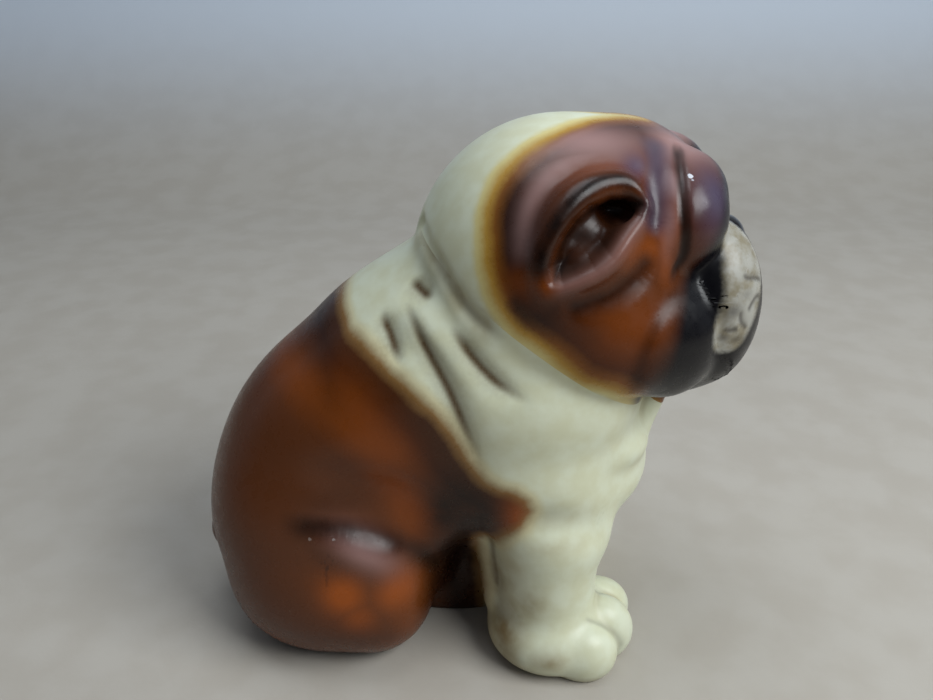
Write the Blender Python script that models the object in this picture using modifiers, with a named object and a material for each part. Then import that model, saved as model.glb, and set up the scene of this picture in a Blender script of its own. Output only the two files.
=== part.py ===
"""Seated bulldog puppy figurine in painted ceramic, as the hand pieces a pottery joins with slip.

Metres, +Z up, +X is the way the dog looks, +Y its left side. The origin lies under the middle of the
figurine, on the surface it stands on. Every piece is cut from one modelled body: a cluster of rounded
lumps, fused and smoothed, then divided along the joining seams with a hairline gap between neighbours.
"""

import math

import bmesh
import bpy
from mathutils import Euler, Matrix, Vector

MM = 0.001

# Driving dimensions, mm
GAP = 0.3              # between neighbouring pieces
FORWARD_SHIFT = 0.97   # brings the middle of the overall length over the origin
CLAY_VOXEL = 1.25      # grain of the fused body
CLAY_FACES = 4200      # triangles kept on the fused body
WALL = 4.0             # cast wall of the torso and head
VENT_RADIUS = 5.0      # drain hole in the base
VENT_X = -27.0
NECK_BACK = (-10.0, 94.0)   # nape end of the head seam (x, z)
NECK_FRONT = (46.0, 52.0)   # throat end of the head seam
LEG_SEAM_X = 3.0       # foreleg castings lie in front of this
LEG_SEAM_Z = 31.0      # and below this
EYE_RADIUS = 2.9
EYE_AT = (47.4, 12.9, 94.8)
NOSE_AT = (53.6, 0.0, 92.2)
NOSE_SIZE = (4.2, 6.0, 4.4)
HIND_PAW_AT = (-8.0, 7.2, 3.4)
HIND_PAW_SIZE = (10.5, 5.6, 5.2)

# Rounded lumps of the body: centre, radii, tilt about Y in degrees, mirrored to the other side
LUMPS = [
    ((-25, 0, 31), (32, 27, 33), 0, False),      # rump
    ((-20, 0, 39.5), (31.8, 26.8, 32), 0, False),  # loin
    ((-14, 0, 47), (31, 26.5, 31), 0, False),    # middle of the back
    ((-10.5, 0, 60), (25, 24.5, 25), 0, False),  # shoulders
    ((8, 0, 65), (32.5, 27, 35), 25, False),     # neck
    ((-6.5, 0, 72), (18, 20.5, 18), 0, False),   # scruff
    ((15, 0, 44), (26, 26, 23), 0, False),       # chest
    ((-28, 15.5, 17.5), (22, 14.5, 21), 0, True),  # haunch
    ((-31, 9, 30), (23, 18, 20), 0, True),       # hip
    ((11, 13, 45), (16, 14, 20), -10, True),     # shoulder
    ((21, 18.5, 6), (15.5, 12.5, 9), 0, True),   # front paw
    ((32, 12, 5), (6, 5, 6), 0, True),           # inner toe
    ((31, 20, 5.5), (6.5, 5.5, 6.5), 0, True),   # middle toe
    ((25, 26.5, 4.5), (7.5, 5, 6), 0, True),     # outer toe
    ((-55, 0, 18.5), (5.2, 5.5, 6), 0, False),   # tail
    ((19, 0, 84.5), (30, 28.5, 30), 0, False),   # skull
    ((39, 9, 96.5), (12, 12, 11.5), 0, True),    # brow
    ((30, 14, 73), (18, 15, 16), 0, True),       # cheek
    ((48.5, 7.5, 79), (9.5, 12, 16.5), 8, True),  # flew
    ((42, 0, 64), (11.5, 15, 9), 0, False),      # chin
]
# Foreleg: a thick tapering column, from the elbow down to the wrist
LEG_TOP, LEG_TOP_RADIUS = (14.5, 15.5, 40), 13.5
LEG_FOOT, LEG_FOOT_RADIUS = (17.5, 17, 10), 11.8

# Seam regions: centre, radii, tilt about Y
HAUNCH_REGION = ((-27.5, 25, 17), (25, 11.5, 24), 0)
TAIL_REGION = ((-59.5, 0, 19), (7.5, 9, 9), 0)
EAR_REGION = ((22, 29.8, 98.3), (8.4, 7.6, 14.4), 39)
MUZZLE_REGION = ((51.5, 0, 77.5), (11.5, 21.5, 16.5), 4)
JAW_REGION = ((45, 0, 60.5), (14, 19, 10.5), 0)

# Hollow of the casting
TORSO_HOLLOW = [
    ((-25, 0, 30), (25, 9.2, 26), 0),
    ((-14, 0, 50), (24, 20, 21), 0),
    ((6, 0, 67), (24, 20.5, 26), 25),
]
HEAD_HOLLOW = [((17, 0, 85), (20, 22, 24), 0)]

# Ear leaf: a folded lens standing out of the side of the head, open towards the side
EAR_AT = (22.0, 25.8, 98.3)
EAR_SIZE = (6.4, 4.8, 12.8)
EAR_TILT = 39
EAR_PIT_AT = (22.6, 31.4, 97.6)
EAR_PIT_SIZE = (3.6, 3.6, 8.8)


def clear_scene():
    for obj in list(bpy.data.objects):
        bpy.data.objects.remove(obj, do_unlink=True)
    for mesh in list(bpy.data.meshes):
        bpy.data.meshes.remove(mesh)


def collection(name):
    made = bpy.data.collections.new(name)
    bpy.context.scene.collection.children.link(made)
    return made


def place(centre, radii, tilt, side=1):
    at = Vector((centre[0], centre[1] * side, centre[2])) * MM
    turn = Euler((0, math.radians(tilt), 0)).to_matrix().to_4x4()
    size = Matrix.Diagonal((radii[0] * MM, radii[1] * MM, radii[2] * MM, 1))
    # the ball's meridians are turned a little, so that none lies in the plane of symmetry
    return Matrix.Translation(at) @ turn @ size @ Matrix.Rotation(0.057 * side, 4, "Z")


def add_lump(bm, centre, radii, tilt=0, side=1, segments=32):
    bmesh.ops.create_uvsphere(
        bm, u_segments=segments, v_segments=segments // 2, radius=1.0, matrix=place(centre, radii, tilt, side)
    )


def add_column(bm, top, foot, top_radius, foot_radius, side=1):
    a = Vector((top[0], top[1] * side, top[2])) * MM
    b = Vector((foot[0], foot[1] * side, foot[2])) * MM
    turn = (a - b).to_track_quat("Z", "Y").to_matrix().to_4x4()
    bmesh.ops.create_cone(
        bm, cap_ends=True, cap_tris=False, segments=32, radius1=foot_radius * MM, radius2=top_radius * MM,
        depth=(a - b).length, matrix=Matrix.Translation((a + b) / 2) @ turn,
    )


def to_object(bm, name, where):
    bmesh.ops.recalc_face_normals(bm, faces=bm.faces)
    mesh = bpy.data.meshes.new(name)
    bm.to_mesh(mesh)
    bm.free()
    obj = bpy.data.objects.new(name, mesh)
    where.objects.link(obj)
    return obj


def helper(obj):
    obj.hide_render = True
    obj.display_type = "WIRE"
    return obj


def region(name, centre, radii, tilt, side, grow, where):
    """A closed rounded cutter, grown by the gap where it makes room for its neighbour."""
    bm = bmesh.new()
    add_lump(bm, centre, [r + grow for r in radii], tilt, side, 24)
    return helper(to_object(bm, name, where))


def block(name, low, high, where):
    bm = bmesh.new()
    low, high = Vector(low) * MM, Vector(high) * MM
    size = high - low
    bmesh.ops.create_cube(
        bm, size=1.0, matrix=Matrix.Translation((low + high) / 2) @ Matrix.Diagonal((size.x, size.y, size.z, 1))
    )
    return helper(to_object(bm, name, where))


def neck_block(name, upper, where):
    """A block whose one face is the slanting head seam, moved half the gap to its own side."""
    back, front = Vector((NECK_BACK[0], 0, NECK_BACK[1])), Vector((NECK_FRONT[0], 0, NECK_FRONT[1]))
    along = (front - back).normalized()
    normal = Vector((0, 1, 0)).cross(along) * -1
    if normal.z < 0:
        normal = -normal
    depth = 160.0
    shift = GAP / 2 + depth / 2
    centre = ((back + front) / 2 + normal * (shift if upper else -shift)) * MM
    turn = Matrix((along, Vector((0, 1, 0)), along.cross(Vector((0, 1, 0))))).transposed().to_4x4()
    bm = bmesh.new()
    bmesh.ops.create_cube(
        bm, size=1.0,
        matrix=Matrix.Translation(centre) @ turn @ Matrix.Diagonal((260 * MM, 120 * MM, depth * MM, 1)),
    )
    return helper(to_object(bm, name, where))


def material(name, color, roughness):
    made = bpy.data.materials.new(name)
    made.use_nodes = True
    shader = made.node_tree.nodes["Principled BSDF"]
    shader.inputs["Base Color"].default_value = (*color, 1)
    shader.inputs["Roughness"].default_value = roughness
    shader.inputs["Metallic"].default_value = 0.0
    return made


def boolean(obj, operation, cutter):
    made = obj.modifiers.new(f"{operation.lower()} {cutter.name}"[:60], "BOOLEAN")
    made.operation = operation
    made.solver = "EXACT"
    made.object = cutter


def evaluated_mesh(obj, name):
    bpy.context.view_layer.update()
    graph = bpy.context.evaluated_depsgraph_get()
    return bpy.data.meshes.new_from_object(obj.evaluated_get(graph), depsgraph=graph)


def fused_body(where):
    """All the lumps fused into one skin, softened, and cut level underneath."""
    bm = bmesh.new()
    for centre, radii, tilt, mirrored in LUMPS:
        for side in (1, -1) if mirrored else (1,):
            add_lump(bm, centre, radii, tilt, side)
    for side in (1, -1):
        add_column(bm, LEG_TOP, LEG_FOOT, LEG_TOP_RADIUS, LEG_FOOT_RADIUS, side)
        add_lump(bm, EAR_AT, EAR_SIZE, EAR_TILT, side)
    body = to_object(bm, "fused_body", where)
    fuse = body.modifiers.new("fuse", "REMESH")
    fuse.mode = "VOXEL"
    fuse.voxel_size = CLAY_VOXEL * MM
    soften = body.modifiers.new("soften", "SMOOTH")
    soften.factor = 0.5
    soften.iterations = 14
    body.data = evaluated_mesh(body, "fused_body")
    body.modifiers.clear()
    thin = body.modifiers.new("thin", "DECIMATE")
    thin.ratio = CLAY_FACES / (2 * len(body.data.polygons))
    body.data = evaluated_mesh(body, "fused_body")
    body.modifiers.clear()
    # level base, and the scooped hollow of each ear
    ground = block("ground_cut", (-90, -60, -40), (90, 60, 0), where)
    boolean(body, "DIFFERENCE", ground)
    for side, tag in ((1, "left"), (-1, "right")):
        pit = region(f"ear_pit_{tag}", EAR_PIT_AT, EAR_PIT_SIZE, EAR_TILT, side, 0, where)
        boolean(body, "DIFFERENCE", pit)
    body.data = evaluated_mesh(body, "fused_body")
    body.modifiers.clear()
    return helper(body)


def piece(name, body, look, where, keep=(), remove=()):
    obj = bpy.data.objects.new(name, body.data.copy())
    where.objects.link(obj)
    for cutter in keep:
        boolean(obj, "INTERSECT", cutter)
    for cutter in remove:
        boolean(obj, "DIFFERENCE", cutter)
    obj.data.materials.clear()
    obj.data.materials.append(look)
    for polygon in obj.data.polygons:
        polygon.use_smooth = True
    return obj


def ball_piece(name, centre, radii, look, where, remove=(), segments=20):
    bm = bmesh.new()
    add_lump(bm, centre, radii, 0, 1, segments)
    obj = to_object(bm, name, where)
    for cutter in remove:
        boolean(obj, "DIFFERENCE", cutter)
    obj.data.materials.append(look)
    for polygon in obj.data.polygons:
        polygon.use_smooth = True
    return obj


def sided(centre, side):
    return (centre[0], centre[1] * side, centre[2])


def build():
    clear_scene()
    parts = collection("bulldog_puppy_figurine")
    cutters = collection("cutters")
    cutters.hide_render = True

    cream = material("cream_glaze", (0.60, 0.62, 0.45), 0.34)
    brown = material("brown_airbrush", (0.20, 0.045, 0.012), 0.32)
    dark = material("dark_mask", (0.012, 0.009, 0.012), 0.28)
    gloss = material("gloss_black", (0.008, 0.006, 0.006), 0.08)

    body = fused_body(cutters)

    above = neck_block("above_neck_seam", True, cutters)
    below = neck_block("below_neck_seam", False, cutters)
    leg_zone = block("foreleg_zone", (LEG_SEAM_X - GAP, -50, -20), (80, 50, LEG_SEAM_Z + GAP), cutters)
    muzzle_keep = region("muzzle_keep", *MUZZLE_REGION, 1, 0, cutters)
    muzzle_room = region("muzzle_room", *MUZZLE_REGION, 1, GAP, cutters)
    jaw_keep = region("jaw_keep", *JAW_REGION, 1, 0, cutters)
    jaw_room = region("jaw_room", *JAW_REGION, 1, GAP, cutters)
    tail_keep = region("tail_keep", *TAIL_REGION, 1, 0, cutters)
    tail_room = region("tail_room", *TAIL_REGION, 1, GAP, cutters)
    nose_room = region("nose_room", NOSE_AT, NOSE_SIZE, 0, 1, GAP, cutters)
    ground = block("ground_under_paws", (-90, -60, -40), (90, 60, 0), cutters)

    vent = bmesh.new()
    bmesh.ops.create_cone(
        vent, cap_ends=True, segments=32, radius1=VENT_RADIUS * MM, radius2=VENT_RADIUS * MM, depth=24 * MM,
        matrix=Matrix.Translation((VENT_X * MM, 0, 0)),
    )
    vent = helper(to_object(vent, "vent_hole", cutters))

    hollow_bm = bmesh.new()
    for centre, radii, tilt in TORSO_HOLLOW:
        add_lump(hollow_bm, centre, radii, tilt)
    torso_hollow = to_object(hollow_bm, "torso_hollow", cutters)
    fuse = torso_hollow.modifiers.new("fuse", "REMESH")
    fuse.mode = "VOXEL"
    fuse.voxel_size = 2.4 * MM
    torso_hollow.data = evaluated_mesh(torso_hollow, "torso_hollow")
    torso_hollow.modifiers.clear()
    thin = torso_hollow.modifiers.new("thin", "DECIMATE")
    thin.ratio = 700 / (2 * len(torso_hollow.data.polygons))
    torso_hollow.data = evaluated_mesh(torso_hollow, "torso_hollow")
    torso_hollow.modifiers.clear()
    helper(torso_hollow)
    hollow_bm = bmesh.new()
    for centre, radii, tilt in HEAD_HOLLOW:
        add_lump(hollow_bm, centre, radii, tilt, 1, 22)
    head_hollow = helper(to_object(hollow_bm, "head_hollow", cutters))

    torso_rooms, head_rooms = [], []
    for side, tag in ((1, "left"), (-1, "right")):
        haunch_keep = region(f"haunch_keep_{tag}", *HAUNCH_REGION, side, 0, cutters)
        haunch_room = region(f"haunch_room_{tag}", *HAUNCH_REGION, side, GAP, cutters)
        ear_keep = region(f"ear_keep_{tag}", *EAR_REGION, side, 0, cutters)
        ear_room = region(f"ear_room_{tag}", *EAR_REGION, side, GAP, cutters)
        eye_room = region(f"eye_room_{tag}", EYE_AT, (EYE_RADIUS,) * 3, 0, side, GAP, cutters)
        paw_room = region(f"hind_paw_room_{tag}", HIND_PAW_AT, HIND_PAW_SIZE, 0, side, GAP, cutters)
        low, high = (GAP / 2, 50) if side > 0 else (-50, -GAP / 2)
        leg_keep = block(f"foreleg_keep_{tag}", (LEG_SEAM_X, low, -20), (80, high, LEG_SEAM_Z), cutters)
        torso_rooms += [haunch_room, paw_room]
        head_rooms += [ear_room, eye_room]
        piece(f"haunch_{tag}", body, brown, parts, keep=[haunch_keep], remove=[paw_room])
        piece(f"ear_{tag}", body, dark, parts, keep=[ear_keep])
        piece(f"foreleg_{tag}", body, cream, parts, keep=[leg_keep])
        ball_piece(f"eye_{tag}", sided(EYE_AT, side), (EYE_RADIUS,) * 3, gloss, parts)
        ball_piece(f"hind_paw_{tag}", sided(HIND_PAW_AT, side), HIND_PAW_SIZE, brown, parts, remove=[ground], segments=24)

    piece("torso_shell", body, brown, parts, keep=[below],
          remove=[leg_zone, tail_room, *torso_rooms, torso_hollow, vent])
    piece("tail_nub", body, brown, parts, keep=[tail_keep])
    piece("head_shell", body, brown, parts, keep=[above],
          remove=[muzzle_room, jaw_room, nose_room, *head_rooms, head_hollow])
    piece("muzzle", body, cream, parts, keep=[muzzle_keep, above], remove=[nose_room])
    piece("lower_jaw", body, dark, parts, keep=[jaw_keep, above], remove=[muzzle_room])
    ball_piece("nose", NOSE_AT, NOSE_SIZE, gloss, parts)

    centre = bpy.data.objects.new("figurine_centre", None)
    parts.objects.link(centre)
    centre.location.x = FORWARD_SHIFT * MM
    for obj in [*parts.objects, *cutters.objects]:
        if obj != centre:
            obj.parent = centre


build()
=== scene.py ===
"""Seated bulldog puppy figurine: satin airbrushed ceramic, seen from its right side and a little above.

The whole dog is one field of distances (millimetres, +X the way it looks, the mid-plane at Y = 0): big forms
melted together, then pressed grooves, folds and a rolled ear. Every casting is that field inside its own
seam surfaces, turned into a fine mesh, so neighbours share their outer skin exactly and the joints vanish
under the glaze, as they do on the fired piece. Paint is laid by functions of the position on the body.
"""

import math

import bmesh
import bpy
import numpy as np
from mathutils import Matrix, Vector


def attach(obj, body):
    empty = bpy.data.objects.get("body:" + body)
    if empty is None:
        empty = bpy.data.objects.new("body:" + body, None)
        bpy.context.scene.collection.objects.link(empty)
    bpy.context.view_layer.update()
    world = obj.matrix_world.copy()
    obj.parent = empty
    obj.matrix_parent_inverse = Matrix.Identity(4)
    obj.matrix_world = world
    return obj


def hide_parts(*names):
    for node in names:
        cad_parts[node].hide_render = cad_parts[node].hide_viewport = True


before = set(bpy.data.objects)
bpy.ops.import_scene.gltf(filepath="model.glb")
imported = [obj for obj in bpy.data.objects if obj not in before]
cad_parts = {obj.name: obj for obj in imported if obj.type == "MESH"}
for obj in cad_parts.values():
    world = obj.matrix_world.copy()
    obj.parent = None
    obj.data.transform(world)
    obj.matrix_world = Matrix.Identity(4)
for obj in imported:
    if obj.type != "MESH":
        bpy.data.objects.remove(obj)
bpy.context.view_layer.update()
SHIFT = 0.97      # mm, the sculpt's own origin to the frame's
FINE = 0.40

# ---------------------------------------------------------------- distance fields (millimetres)
F = np.float32


def turn(ax=0, ay=0, az=0):
    ax, ay, az = np.radians([ax, ay, az])
    cx, sx, cy, sy, cz, sz = np.cos(ax), np.sin(ax), np.cos(ay), np.sin(ay), np.cos(az), np.sin(az)
    rx = np.array([[1, 0, 0], [0, cx, -sx], [0, sx, cx]])
    ry = np.array([[cy, 0, sy], [0, 1, 0], [-sy, 0, cy]])
    rz = np.array([[cz, -sz, 0], [sz, cz, 0], [0, 0, 1]])
    return (rz @ ry @ rx).astype(F)


def ell(P, c, r, rot=(0, 0, 0)):
    """Nearly the distance to an ellipsoid."""
    x, y, z = P[0] - F(c[0]), P[1] - F(c[1]), P[2] - F(c[2])
    if any(rot):
        m = turn(*rot).T
        x, y, z = (m[0, 0] * x + m[0, 1] * y + m[0, 2] * z, m[1, 0] * x + m[1, 1] * y + m[1, 2] * z,
                   m[2, 0] * x + m[2, 1] * y + m[2, 2] * z)
    a, b, c_ = F(1 / r[0]), F(1 / r[1]), F(1 / r[2])
    x, y, z = x * a, y * b, z * c_
    k0 = np.sqrt(x * x + y * y + z * z) + F(1e-5)
    k1 = np.sqrt((x * a) ** 2 + (y * b) ** 2 + (z * c_) ** 2) + F(1e-6)
    return k0 * (k0 - 1) / k1


def limb(P, a, b, ra, rb):
    """A capsule whose radius runs from ra to rb."""
    a, b = np.array(a, F), np.array(b, F)
    d = b - a
    x, y, z = P[0] - a[0], P[1] - a[1], P[2] - a[2]
    t = np.clip((x * d[0] + y * d[1] + z * d[2]) / F(d @ d), 0, 1)
    return np.sqrt((x - t * d[0]) ** 2 + (y - t * d[1]) ** 2 + (z - t * d[2]) ** 2) - (F(ra) + F(rb - ra) * t)


def smin(a, b, k):
    h = np.maximum(F(k) - np.abs(a - b), 0) / F(k)
    return np.minimum(a, b) - h * h * h * F(k / 6)


def smax(a, b, k):
    return -smin(-a, -b, k)


def ramp(x, lo, hi):
    t = np.clip((x - F(lo)) / F(hi - lo), 0, 1)
    return t * t * (3 - 2 * t)


def spline(pts, per=6):
    """Points along a Catmull-Rom curve through pts."""
    p = np.array(pts, float)
    p = np.vstack([2 * p[0] - p[1], p, 2 * p[-1] - p[-2]])
    out = []
    for i in range(1, len(p) - 2):
        t = np.linspace(0, 1, per, endpoint=False)[:, None]
        a, b, c, d = p[i - 1], p[i], p[i + 1], p[i + 2]
        out.append(0.5 * (2 * b + (c - a) * t + (2 * a - 5 * b + 4 * c - d) * t ** 2 + (3 * b - a - 3 * c + d) * t ** 3))
    out.append(p[-2][None])
    return np.vstack(out).astype(F)


def near(P, line, reach):
    """Points within reach of the line: their indices, distance, how far along (0 to 1), and the nearest point."""
    lo, hi = line.min(0) - reach, line.max(0) + reach
    idx = np.flatnonzero((P[0] > lo[0]) & (P[0] < hi[0]) & (P[1] > lo[1]) & (P[1] < hi[1]) & (P[2] > lo[2]) & (P[2] < hi[2]))
    if not len(idx):
        return idx, None, None, None
    x, y, z = P[0][idx], P[1][idx], P[2][idx]
    best = np.full(len(idx), 1e9, F)
    along = np.zeros(len(idx), F)
    foot = np.zeros((3, len(idx)), F)
    seg = np.diff(line, axis=0)
    length = np.sqrt((seg ** 2).sum(1))
    start = np.concatenate([[0], np.cumsum(length)[:-1]])
    total = length.sum()
    for a, d, l, s in zip(line[:-1], seg, length, start):
        if l < 1e-6:
            continue
        dx, dy, dz = x - a[0], y - a[1], z - a[2]
        t = np.clip((dx * d[0] + dy * d[1] + dz * d[2]) / F(l * l), 0, 1)
        ex, ey, ez = dx - t * d[0], dy - t * d[1], dz - t * d[2]
        q = ex * ex + ey * ey + ez * ez
        m = q < best
        best[m] = q[m]
        along[m] = (F(s) + t[m] * F(l)) / F(total)
        foot[0][m], foot[1][m], foot[2][m] = (a[0] + t * d[0])[m], (a[1] + t * d[1])[m], (a[2] + t * d[2])[m]
    return idx, np.sqrt(best), along, foot


def taper(s, a, b):
    """1 in the middle of a line, falling to 0 over its first a and last b."""
    r = np.ones_like(s)
    if a > 0:
        r = r * ramp(s, 0, a)
    if b > 0:
        r = r * (1 - ramp(s, 1 - b, 1))
    return r


def groove(d, P, line, width, depth, ends=(0.2, 0.2)):
    """Presses a round-bottomed groove along the line (a negative depth raises a ridge)."""
    idx, q, s, _ = near(P, line, 2.6 * width)
    if len(idx):
        d[idx] += F(depth) * np.exp(-(q / F(width)) ** 2) * taper(s, *ends)
    return d


def fold(d, P, line, side, width, height, ends=(0.25, 0.25), reach=3.5):
    """Lets the side the vector points to stand over the other, as skin folds do."""
    idx, q, s, foot = near(P, line, reach * width)
    if len(idx):
        o = ((P[0][idx] - foot[0]) * F(side[0]) + (P[1][idx] - foot[1]) * F(side[1]) + (P[2][idx] - foot[2]) * F(side[2])) / F(width)
        fall = np.exp(-(q / F(width * reach * 0.5)) ** 2)
        d[idx] -= F(height) * np.tanh(o) * fall * taper(s, *ends)
    return d


# ---------------------------------------------------------------- the dog as one field
def base(P):
    """The big forms."""
    X, Y, Z = P
    A = (X, np.sqrt(Y * Y + F(0.02)), Z)
    d = ell(P, (-25.4, 0, 31), (32, 26.5, 33))                    # rump
    d = smin(d, ell(P, (-21, 0, 40), (32, 26, 32)), 6)
    d = smin(d, ell(P, (-14, 0, 47), (31, 26, 31)), 6)            # back
    d = smin(d, ell(P, (-10.5, 0, 60), (24.6, 24.5, 25)), 6)
    d = smin(d, ell(P, (8, 0, 64), (31, 26.8, 34), (0, 25, 0)), 8)  # neck
    d = smin(d, ell(P, (-5.6, 0, 70.6), (17.2, 21, 16.8)), 6)       # scruff
    d = smin(d, ell(A, (13, 11.5, 61), (21, 16, 15)), 6)          # side of the neck
    d = smin(d, ell(P, (14.8, 0, 40.5), (25.6, 24.5, 16.0)), 5)   # chest
    d = smin(d, ell(A, (25.0, 7, 50.5), (14.2, 13, 7.5), (0, 12, 0)), 5)  # dewlap collar
    d = smin(d, limb(A, (40.2, 1.0, 59.5), (36.4, 5.5, 50.8), 4.6, 3.8), 2.0)  # strap of skin under the chin
    d = smin(d, ell(A, (12.5, 13, 45.5), (17.5, 14.5, 16.5), (0, -10, 0)), 7)  # shoulder
    # the flank sinks in above the thigh
    d = smax(d, -ell(A, (-17, 35.0, 43.5), (21, 11.6, 9.0), (0, 22, 0)), 9)
    # haunch
    h = ell(A, (-34, 11.5, 15.5), (19, 16.8, 18))
    h = smin(h, ell(A, (-27.4, 15.2, 17.4), (18.4, 15.2, 17.6)), 6)
    h = smin(h, ell(A, (-20.0, 16.0, 15.8), (13, 13.6, 16.4)), 6)
    d = smin(d, h, 3.5)
    d = smin(d, ell(A, (-36, 9, 28), (19, 17.5, 20)), 10)
    # scooped side in front of the haunch, between knee and foreleg
    d = smax(d, -ell(A, (0.5, 23, 10), (5.5, 13.5, 17), (0, 0, -8)), 5)
    # belly and tucked hind paw
    d = smin(d, ell(A, (-1.5, 2.0, 12), (17, 8.2, 19)), 4)
    d = smin(d, ell(A, (-6.0, 3.4, 2.6), (11.5, 5.0, 5.2)), 2)
    # foreleg; the left paw is set back a little
    L = (X + F(3.4) * ramp(Y, 0, 5) * (1 - ramp(Z, 26, 44)), A[1], Z)
    leg = ell(L, (17.6, 15.4, 31.5), (13.6, 12.8, 12.8))
    leg = smin(leg, limb(L, (17.2, 16.6, 32), (17.4, 17.6, 9), 11.6, 10.8), 4)
    leg = smin(leg, limb(L, (4.8, 15.2, 36), (8.2, 16.2, 12), 4.2, 4.4), 2.5)
    leg = smin(leg, ell(L, (19.0, 19, 6.0), (14.2, 13.4, 8.8)), 4)
    for c, r in (((30.2, 11.4, 4.4), (7.6, 5.6, 7.0)), ((29.6, 19.8, 5.2), (7.7, 6.2, 8.2)), ((25.4, 26.4, 4.8), (7.4, 6.0, 7.0))):
        leg = smin(leg, ell(L, c, r), 1.6)
    d = smin(d, leg, 5)
    d = smin(d, ell(P, (-56, 0, 18.5), (4.6, 5.2, 5.6)), 2.5)     # tail
    # head
    e = ell(P, (18.6, 0, 84.8), (29.6, 28.3, 30))
    e = smin(e, ell(P, (30.4, 0, 98.2), (16, 21, 15.8)), 6)         # forehead
    e = smin(e, ell(A, (29, 14, 77), (18.5, 14.8, 13.4)), 7)      # cheek
    e = smin(e, ell(A, (38.3, 10.2, 98.0), (10.4, 12.2, 11.0)), 3.5)   # brow
    e = smin(e, ell(A, (40.0, 7.0, 102.4), (8.8, 10.0, 7.6), (0, 12, 0)), 2.5)
    e = smin(e, ell(A, (38.5, 13, 75.5), (11, 11.8, 13.2)), 4)    # jowl
    m = ell(A, (47.4, 8.4, 79.8), (10.4, 12.4, 17.2))             # flew
    m = smin(m, ell(P, (42.5, 0, 66.5), (12, 14, 9)), 4)          # chin
    e = smin(e, m, 2.5)
    return smin(d, e, 2)


def settle(points, lift=0.0):
    """Moves points onto the surface of the big forms, then out by lift."""
    p = [points[:, i].astype(F) for i in range(3)]
    for _ in range(12):
        d = base(p)
        g = gradient(base, p, 0.3)
        for i in range(3):
            p[i] = p[i] - (d - F(lift)) * g[i]
    return np.stack(p, 1)


def gradient(fn, P, e=0.12):
    g = []
    for i in range(3):
        a, b = list(P), list(P)
        a[i] = P[i] + F(e)
        b[i] = P[i] - F(e)
        g.append(fn(tuple(a)) - fn(tuple(b)))
    n = np.sqrt(g[0] ** 2 + g[1] ** 2 + g[2] ** 2) + F(1e-9)
    return [v / n for v in g]


def line(*pts, lift=0.0, per=5):
    return settle(spline(pts, per), lift)


NECK_CREASE = line((-10.5, 2, 95.3), (-9.5, 9, 94), (-7, 15.3, 91.3), (-4.5, 19.3, 88.4), (-1.2, 22.8, 84.6), (1.6, 24.8, 82.0), (6.5, 26.8, 79.0))
FOLDS = [
    (line((-12.4, 13, 88.6), (-10, 16.9, 87), (-7.2, 19.8, 85.2)), 0.85, 0.85),
    (line((-14.4, 14.5, 86.6), (-12, 18.2, 83.6), (-9.9, 21, 80), (-6.8, 24, 74.6), (-3.6, 25.8, 68.7), (-0.7, 26.6, 61.5), (1.6, 26.8, 55.0), (3.0, 27, 48)), 1.0, 1.1),
    (line((-4.5, 22.3, 82.3), (-1.7, 24.5, 78.9), (1.2, 26, 75.2), (4.9, 27, 71.6), (8.6, 27.4, 69.1), (12.7, 27.4, 66.3)), 0.95, 1.0),
    (line((-17.4, 15, 82.6), (-16.4, 17.3, 80.2), (-15, 19.3, 77.8), (-13.4, 21.4, 74.4), (-12.2, 22.5, 71.5)), 0.85, 0.9),
]
PILLOWS = [line((-13.5, 15.5, 86.6), (-10.4, 20, 82.4), (-7.6, 22.8, 78), (-4.6, 25, 72.6)), line((-9.6, 18.6, 84.8), (-5.4, 23, 79), (-1.4, 25.4, 73.4), (3.4, 26.8, 67.6)),
           line((-7.4, 16.8, 88.4), (-3.6, 21.6, 84.6), (0.4, 24.4, 80.2), (5.4, 26.6, 75.8), (11, 27.4, 71.4))]
THIGH = line((-39, 25.6, 37.8), (-33.6, 26.5, 38.4), (-25.6, 26.7, 37.6), (-17.7, 26.4, 35.0), (-10.6, 24.6, 30.4), (-6.8, 21.6, 24.8), (-5.0, 16, 17.0))
ELBOW = line((8.5, 26.8, 41.5), (12.5, 27.4, 40.6), (17, 27.0, 39.2), (22, 26.0, 37.0), (27.4, 23.4, 34.6), (30.6, 19, 33.4))
TENDON = line((5.2, 23, 34), (5.4, 21.4, 28), (5.9, 20.6, 23), (7.0, 21.0, 17))
SHELF = line((-33, 28, 33), (-27.7, 27.6, 33.6), (-22, 27.6, 31.4), (-16.5, 27.2, 28.2), (-12, 25.6, 24))
BROW_CREASE = line((38.0, 6, 109), (37.8, 13, 107.5), (37.7, 16.5, 105), (37.8, 19.6, 101.5), (38.2, 21.3, 97), (38.2, 22.2, 92.5), (36.5, 23.8, 88.5))
BROW_VALLEY = line((33.5, 7, 110), (33.5, 14, 107.6), (33.4, 18.2, 104), (33.0, 21.2, 100.4), (32, 23, 97.6))
EAR_UNDER = line((16, 28.6, 86.4), (20.5, 28.8, 87.4), (26.1, 28, 89.2), (30.8, 26.2, 92.4), (33.4, 24.6, 96.4))
JOWL_BACK = line((39.5, 22.6, 89.5), (37.5, 23.6, 87), (34.6, 26, 84), (32.6, 27.8, 80.5), (31.6, 28.8, 76.0), (31.4, 29, 71), (32.4, 26, 65))
WRINKLES = [(line((55.8, 14, 86.6), (54.2, 15.6, 87.6), (51.9, 17.6, 88.4), (50.6, 17.9, 89.3)), 0.8, 0.6),
            (line((55.4, 15.6, 84.4), (54.4, 17.2, 84.2), (53.2, 18.4, 83.2), (52.1, 19.1, 82.2)), 0.8, 0.65),
            (line((47.6, 20.6, 79.2), (49.2, 20.4, 79.0), (50.8, 20.1, 79.3)), 0.7, 0.45),
            (line((52.4, 18.6, 78.8), (51.0, 19.4, 80.6), (50.6, 19.6, 83)), 0.9, 0.4)]
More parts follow.
